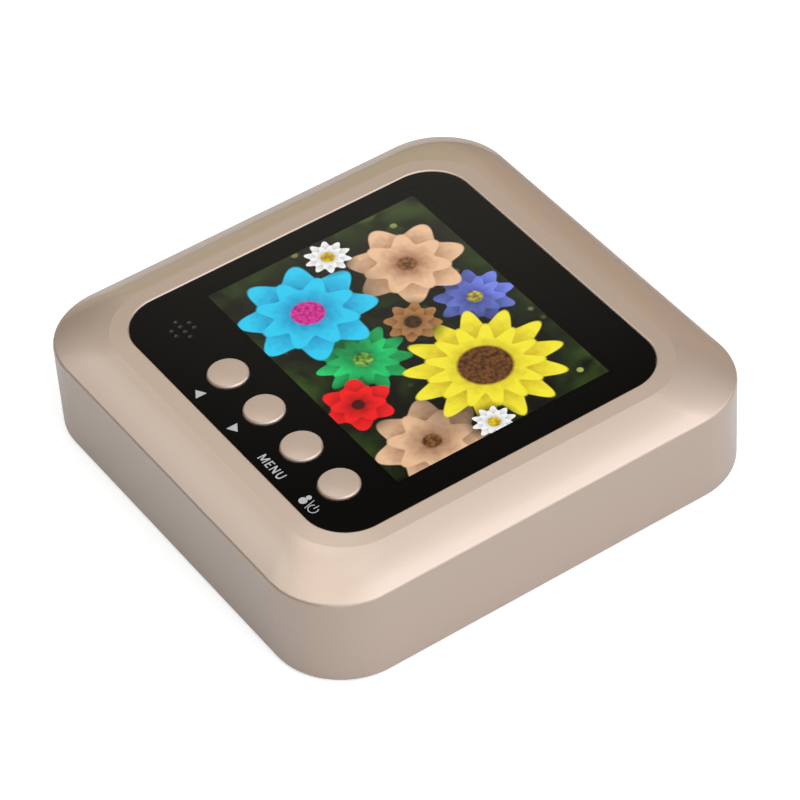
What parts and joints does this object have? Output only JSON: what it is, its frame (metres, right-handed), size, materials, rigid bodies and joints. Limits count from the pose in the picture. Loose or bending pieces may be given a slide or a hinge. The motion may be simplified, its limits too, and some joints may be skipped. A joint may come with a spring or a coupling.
{
  "type": "door viewer monitor",
  "caption": "Square indoor monitor of a digital door viewer: domed bezel, glossy panel with small landscape screen, round keys, sound outlet, battery lid, camera and bracket recess behind.",
  "frame": {"origin": "middle of the unit's outline, on the plane of its back, which it lies on", "axes": "+Z out of the screen, +Y to the top of the screen, +X to the right of the screen"},
  "size_m": [0.077, 0.078, 0.0182],
  "materials": {
    "painted_shell": "champagne pearl paint, satin gloss",
    "clear_acrylic": "clear polished acrylic",
    "black_print": "black screen print",
    "white_tape": "double-sided tape",
    "black_foam": "closed-cell foam",
    "steel_sheet": "bright pressed steel",
    "light_guide": "milky acrylic",
    "display_glass": "display glass with a lit picture",
    "chip_resin": "moulded black epoxy",
    "flex_film": "polyimide film",
    "connector_nylon": "ivory nylon",
    "board_laminate": "green solder resist",
    "bright_can": "drawn aluminium",
    "grey_ferrite": "moulded ferrite",
    "spring_steel": "nickel-plated steel",
    "screw_steel": "nickel-plated steel",
    "black_abs": "fine spark texture",
    "speaker_film": "polyester film",
    "cell_sleeve": "printed plastic sleeve",
    "lens_glass": "coated glass",
    "lens_black": "black nylon"
  },
  "bodies": {
    "housing": {"front_housing": "painted_shell", "rear_housing": "painted_shell", "front_panel": "clear_acrylic", "panel_mask": "black_print", "panel_tape": "white_tape", "lcd_gasket": "black_foam", "speaker_gasket": "black_foam", "lcd_frame": "steel_sheet", "lcd_backlight": "light_guide", "lcd_glass": "display_glass", "display_driver": "chip_resin", "lcd_flex": "flex_film", "display_connector": "connector_nylon", "main_board": "board_laminate", "processor_chip": "chip_resin", "memory_chip": "chip_resin", "clock_crystal": "bright_can", "power_inductor": "grey_ferrite", "capacitors": "bright_can", "passives": "chip_resin", "card_socket": "steel_sheet", "switch_bodies": "black_abs", "speaker_body": "steel_sheet", "speaker_cone": "speaker_film", "battery_contacts": "spring_steel", "battery_springs": "spring_steel", "camera_board": "board_laminate", "image_sensor": "chip_resin", "lens_holder": "lens_black", "infrared_filter": "lens_glass", "lens_barrel": "lens_black", "camera_lens": "lens_glass", "camera_connector": "connector_nylon", "camera_flex": "flex_film", "housing_screws": "screw_steel", "board_screws": "screw_steel", "camera_screws": "screw_steel", "battery_cell_1": "cell_sleeve", "battery_cell_2": "cell_sleeve", "battery_cell_3": "cell_sleeve"},
    "left_key": {"left_button": "painted_shell", "left_plunger": "black_abs"},
    "right_key": {"right_button": "painted_shell", "right_plunger": "black_abs"},
    "menu_key": {"menu_button": "painted_shell", "menu_plunger": "black_abs"},
    "power_key": {"power_button": "painted_shell", "power_plunger": "black_abs"},
    "battery_lid": {"battery_lid": "painted_shell"},
    "memory_card": {"memory_card": "chip_resin"}
  },
  "joints": [
    {"name": "left_press", "type": "slide", "parent": "housing", "child": "left_key", "axis": [0, 0, -1], "range_m": [0, 0.00035], "stiffness_N_per_m": 300},
    {"name": "right_press", "type": "slide", "parent": "housing", "child": "right_key", "axis": [0, 0, -1], "range_m": [0, 0.00035], "stiffness_N_per_m": 300},
    {"name": "menu_press", "type": "slide", "parent": "housing", "child": "menu_key", "axis": [0, 0, -1], "range_m": [0, 0.00035], "stiffness_N_per_m": 300},
    {"name": "power_press", "type": "slide", "parent": "housing", "child": "power_key", "axis": [0, 0, -1], "range_m": [0, 0.00035], "stiffness_N_per_m": 300},
    {"name": "lid_hinge", "type": "hinge", "parent": "housing", "child": "battery_lid", "pos_m": [0, -0.03606, 0.0005], "axis": [-1, 0, 0], "range_deg": [0, 85]},
    {"name": "card_slide", "type": "slide", "parent": "housing", "child": "memory_card", "axis": [-1, 0, 0], "range_m": [0, 0.015]}
  ]
}
